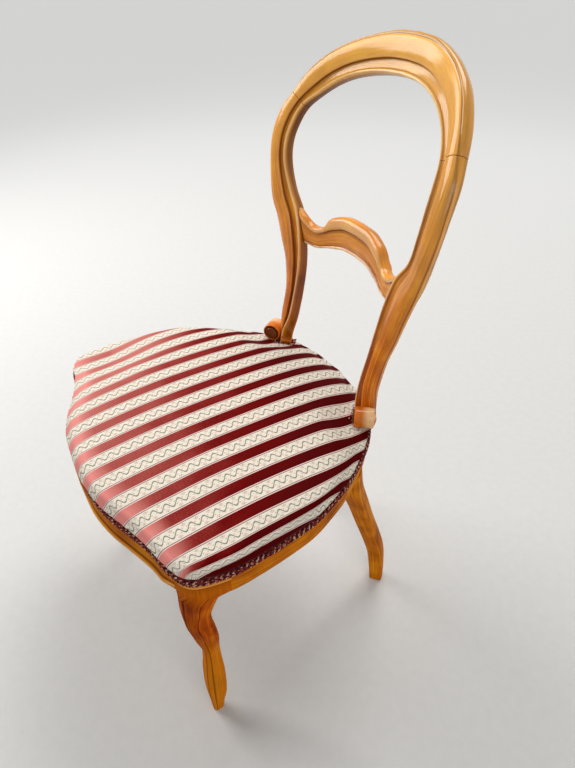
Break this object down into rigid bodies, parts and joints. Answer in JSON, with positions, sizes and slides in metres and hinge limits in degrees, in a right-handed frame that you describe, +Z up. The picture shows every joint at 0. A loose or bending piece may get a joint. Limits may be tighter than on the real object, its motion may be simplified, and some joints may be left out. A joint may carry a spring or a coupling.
{
  "type": "dining chair",
  "caption": "Balloon back dining chair with a hoop back, a low cross splat, cabriole front legs and a sprung, striped round seat.",
  "frame": {"origin": "on the floor, below the middle of the chair's box", "axes": "+Z up, +Y to the back, +X to the sitter's left, so the chair faces -Y"},
  "size_m": [0.526, 0.5306, 0.8903],
  "materials": {
    "frame_wood": "glossy honey varnish, worn",
    "button_wood": "darker turned wood, satin",
    "dowel_wood": "raw beech",
    "block_wood": "raw, unvarnished",
    "fastener_steel": "dull steel",
    "webbing": "jute webbing",
    "spring_steel": "drawn steel wire",
    "hessian": "coarse jute cloth",
    "stuffing": "fibre stuffing",
    "striped_cover": "woven stripe with velvet bands",
    "braid": "twisted trim braid"
  },
  "bodies": {
    "root": {"front_rail": "frame_wood", "side_rail_left": "frame_wood", "side_rail_right": "frame_wood", "back_rail": "frame_wood", "front_leg_left": "frame_wood", "front_leg_right": "frame_wood", "back_leg_left": "frame_wood", "back_leg_right": "frame_wood", "post_left": "frame_wood", "post_right": "frame_wood", "crest_rail": "frame_wood", "cross_splat": "frame_wood", "scroll_buttons": "button_wood", "rail_dowels": "dowel_wood", "crest_dowels": "dowel_wood", "splat_dowels": "dowel_wood", "corner_blocks": "block_wood", "corner_block_screws": "fastener_steel", "webbing_lengthwise": "webbing", "webbing_crosswise": "webbing", "webbing_tacks": "fastener_steel", "seat_springs": "spring_steel", "spring_hessian": "hessian", "stuffing_pad": "stuffing", "seat_cover": "striped_cover", "gimp_braid": "braid"}
  },
  "joints": []
}
